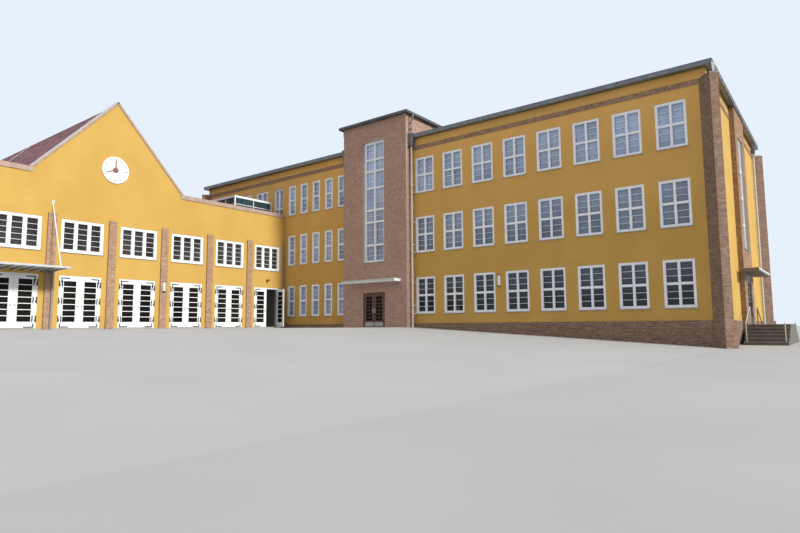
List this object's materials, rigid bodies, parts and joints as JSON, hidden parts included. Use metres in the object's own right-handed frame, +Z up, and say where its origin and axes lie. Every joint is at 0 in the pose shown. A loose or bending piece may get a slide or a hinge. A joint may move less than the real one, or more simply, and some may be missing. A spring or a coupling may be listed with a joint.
{
  "type": "school building, 1:2 scale model",
  "caption": "Three-storey plastered school wing with a brick stair tower, joined to a gabled hall with a clock and double doors; scale model 1:2.",
  "frame": {"origin": "lowest ground level, in the face of the main wing's front wall, on the axis of the first window right of the stair tower", "axes": "+X along the front of the main wing to the right, +Y from the front to the back, +Z up"},
  "size_m": [25.2945, 21.4747, 7.319],
  "materials": {
    "yellow_plaster": "matt ochre yellow render",
    "red_brick": "red brown brick with pale joints",
    "base_masonry": "matt grey render",
    "white_paint": "white gloss paint",
    "dark_timber": "dark brown stain",
    "window_glass": "clear glass",
    "roof_sheet": "dark grey sheet",
    "roof_tile": "dark red clay tile",
    "flat_roofing": "grey roofing felt",
    "concrete": "grey concrete",
    "canopy_metal": "pale grey paint",
    "black_iron": "black paint",
    "lamp_glass": "white opal",
    "dial_white": "white enamel"
  },
  "bodies": {
    "building": {"brick_band": "red_brick", "brick_door_piers": "red_brick", "canopy_rods": "canopy_metal", "clock_dial": "dial_white", "clock_hands": "black_iron", "corner_buttresses": "red_brick", "door_hinges": "black_iron", "end_bay_walls": "red_brick", "end_rails": "canopy_metal", "end_steps": "concrete", "floors": "concrete", "hall_back_wall": "yellow_plaster", "hall_base": "base_masonry", "hall_canopy": "canopy_metal", "hall_copings": "red_brick", "hall_door_frames": "white_paint", "hall_door_piers": "yellow_plaster", "hall_end_walls": "yellow_plaster", "hall_flat_roof": "flat_roofing", "hall_front_wall": "yellow_plaster", "hall_gables": "yellow_plaster", "hall_glass": "window_glass", "hall_pilasters": "red_brick", "hall_roof": "roof_tile", "hall_windows": "white_paint", "main_end_walls": "yellow_plaster", "main_front_wall": "yellow_plaster", "main_glass": "window_glass", "main_gutters": "roof_sheet", "main_plinth": "red_brick", "main_rear_wall": "yellow_plaster", "main_roof": "roof_sheet", "narrow_windows": "white_paint", "pavilion_frame": "white_paint", "rainwater_pipes": "canopy_metal", "rear_windows": "white_paint", "slab_canopies": "concrete", "tall_windows": "white_paint", "timber_door_frames": "dark_timber", "tower_front_wall": "red_brick", "tower_roof": "roof_sheet", "tower_side_walls": "red_brick", "wall_lamps": "lamp_glass", "wide_windows": "white_paint"},
    "hall_door_1a_leaf": {"hall_door_1a": "white_paint"},
    "hall_door_1b_leaf": {"hall_door_1b": "white_paint"},
    "hall_door_2a_leaf": {"hall_door_2a": "white_paint"},
    "hall_door_2b_leaf": {"hall_door_2b": "white_paint"},
    "hall_door_3a_leaf": {"hall_door_3a": "white_paint"},
    "hall_door_3b_leaf": {"hall_door_3b": "white_paint"},
    "hall_door_4a_leaf": {"hall_door_4a": "white_paint"},
    "hall_door_4b_leaf": {"hall_door_4b": "white_paint"},
    "hall_door_5a_leaf": {"hall_door_5a": "white_paint"},
    "hall_door_5b_leaf": {"hall_door_5b": "white_paint"},
    "hall_door_6a_leaf": {"hall_door_6a": "white_paint"},
    "hall_door_6b_leaf": {"hall_door_6b": "white_paint"},
    "end_door_a_leaf": {"end_door_a": "dark_timber"},
    "end_door_b_leaf": {"end_door_b": "dark_timber"},
    "tower_door_a_leaf": {"tower_door_a": "dark_timber"},
    "tower_door_b_leaf": {"tower_door_b": "dark_timber"}
  },
  "joints": [
    {"name": "hall_door_1a_hinge", "type": "hinge", "parent": "building", "child": "hall_door_1a_leaf", "pos_m": [-6.485, -0.2975, 0.53], "axis": [0, 0, 1], "range_deg": [-78, 32]},
    {"name": "hall_door_1b_hinge", "type": "hinge", "parent": "building", "child": "hall_door_1b_leaf", "pos_m": [-6.485, -1.3225, 0.53], "axis": [0, 0, -1], "range_deg": [0, 110]},
    {"name": "hall_door_2a_hinge", "type": "hinge", "parent": "building", "child": "hall_door_2a_leaf", "pos_m": [-6.485, -1.9175, 0.53], "axis": [0, 0, 1], "range_deg": [0, 110]},
    {"name": "hall_door_2b_hinge", "type": "hinge", "parent": "building", "child": "hall_door_2b_leaf", "pos_m": [-6.485, -2.9425, 0.53], "axis": [0, 0, -1], "range_deg": [0, 110]},
    {"name": "hall_door_3a_hinge", "type": "hinge", "parent": "building", "child": "hall_door_3a_leaf", "pos_m": [-6.485, -3.5375, 0.53], "axis": [0, 0, 1], "range_deg": [0, 110]},
    {"name": "hall_door_3b_hinge", "type": "hinge", "parent": "building", "child": "hall_door_3b_leaf", "pos_m": [-6.485, -4.5625, 0.53], "axis": [0, 0, -1], "range_deg": [0, 110]},
    {"name": "hall_door_4a_hinge", "type": "hinge", "parent": "building", "child": "hall_door_4a_leaf", "pos_m": [-6.485, -5.1575, 0.53], "axis": [0, 0, 1], "range_deg": [0, 110]},
    {"name": "hall_door_4b_hinge", "type": "hinge", "parent": "building", "child": "hall_door_4b_leaf", "pos_m": [-6.485, -6.1825, 0.53], "axis": [0, 0, -1], "range_deg": [0, 110]},
    {"name": "hall_door_5a_hinge", "type": "hinge", "parent": "building", "child": "hall_door_5a_leaf", "pos_m": [-6.485, -6.7775, 0.53], "axis": [0, 0, 1], "range_deg": [0, 110]},
    {"name": "hall_door_5b_hinge", "type": "hinge", "parent": "building", "child": "hall_door_5b_leaf", "pos_m": [-6.485, -7.8025, 0.53], "axis": [0, 0, -1], "range_deg": [0, 110]},
    {"name": "hall_door_6a_hinge", "type": "hinge", "parent": "building", "child": "hall_door_6a_leaf", "pos_m": [-6.485, -8.3975, 0.53], "axis": [0, 0, 1], "range_deg": [0, 110]},
    {"name": "hall_door_6b_hinge", "type": "hinge", "parent": "building", "child": "hall_door_6b_leaf", "pos_m": [-6.485, -9.4225, 0.53], "axis": [0, 0, -1], "range_deg": [0, 110]},
    {"name": "end_door_a_hinge", "type": "hinge", "parent": "building", "child": "end_door_a_leaf", "pos_m": [8.096, 4.4825, 0.515], "axis": [0, 0, 1], "range_deg": [0, 110]},
    {"name": "end_door_b_hinge", "type": "hinge", "parent": "building", "child": "end_door_b_leaf", "pos_m": [8.096, 3.6565, 0.515], "axis": [0, 0, -1], "range_deg": [0, 110]},
    {"name": "tower_door_a_hinge", "type": "hinge", "parent": "building", "child": "tower_door_a_leaf", "pos_m": [-1.404, -0.306, 0.5], "axis": [0, 0, 1], "range_deg": [0, 110]},
    {"name": "tower_door_b_hinge", "type": "hinge", "parent": "building", "child": "tower_door_b_leaf", "pos_m": [-2.23, -0.306, 0.5], "axis": [0, 0, -1], "range_deg": [0, 110]}
  ]
}
